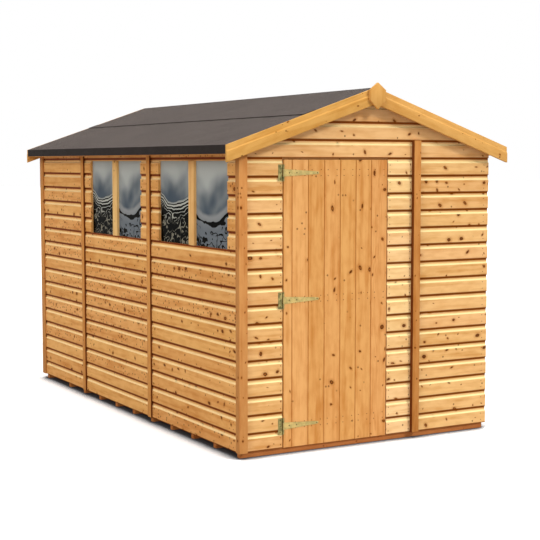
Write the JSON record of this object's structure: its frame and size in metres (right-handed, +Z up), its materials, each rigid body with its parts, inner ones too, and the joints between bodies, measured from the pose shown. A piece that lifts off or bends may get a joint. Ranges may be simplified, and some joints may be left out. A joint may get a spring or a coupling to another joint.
{
  "type": "garden shed",
  "caption": "Small timber garden shed with shiplap cladding, a felted apex roof, a ledged and braced single door in the gable end and windows in one side wall.",
  "frame": {"origin": "on the ground under the middle of the whole shed's box, finial included", "axes": "+Z up, -Y out of the door gable, +Y to the back, +X to the right as seen facing the door"},
  "size_m": [2.046, 3.453, 2.2159],
  "materials": {
    "cladding": "golden dip-treated softwood, planed",
    "timber": "planed softwood framing",
    "trim": "dip-treated softwood, sawn",
    "bargeboard": "dip-treated softwood, planed and moulded",
    "felt": "mineral-surfaced bitumen felt",
    "glazing": "clear horticultural glass",
    "hinge": "yellow zinc passivated steel"
  },
  "bodies": {
    "shed": {"floor_joists": "trim", "floor_boards": "timber", "front_cladding_left": "cladding", "front_cladding_right": "cladding", "front_gable_cladding": "cladding", "left_cladding_front": "cladding", "left_cladding_middle": "cladding", "left_cladding_back": "cladding", "right_cladding": "cladding", "back_cladding": "cladding", "front_posts": "timber", "front_rails": "timber", "front_gable_frame": "timber", "back_posts": "timber", "back_rails": "timber", "back_gable_frame": "timber", "left_posts": "timber", "left_rails": "timber", "right_posts": "timber", "right_rails": "timber", "window_mullions": "trim", "window_glass": "glazing", "window_beads": "trim", "front_corner_trim": "trim", "back_corner_trims": "trim", "gable_joint_strips": "trim", "side_joint_strips": "trim", "roof_boards_left": "timber", "roof_boards_right": "timber", "eave_battens": "trim", "roof_purlins": "timber", "truss_rafters": "timber", "truss_braces": "timber", "felt_left_course": "felt", "felt_right_course": "felt", "felt_ridge_course": "felt", "front_bargeboards": "bargeboard", "back_bargeboards": "bargeboard", "finial": "bargeboard", "hinge_plates": "hinge"},
    "door": {"door_leaf": "cladding", "door_ledges": "timber", "door_braces": "timber", "hinge_straps": "hinge"}
  },
  "joints": [
    {"name": "door_hinge", "type": "hinge", "parent": "shed", "child": "door", "pos_m": [-0.618, -1.6535, 0], "axis": [0, 0, -1], "range_deg": [0, 165]}
  ]
}
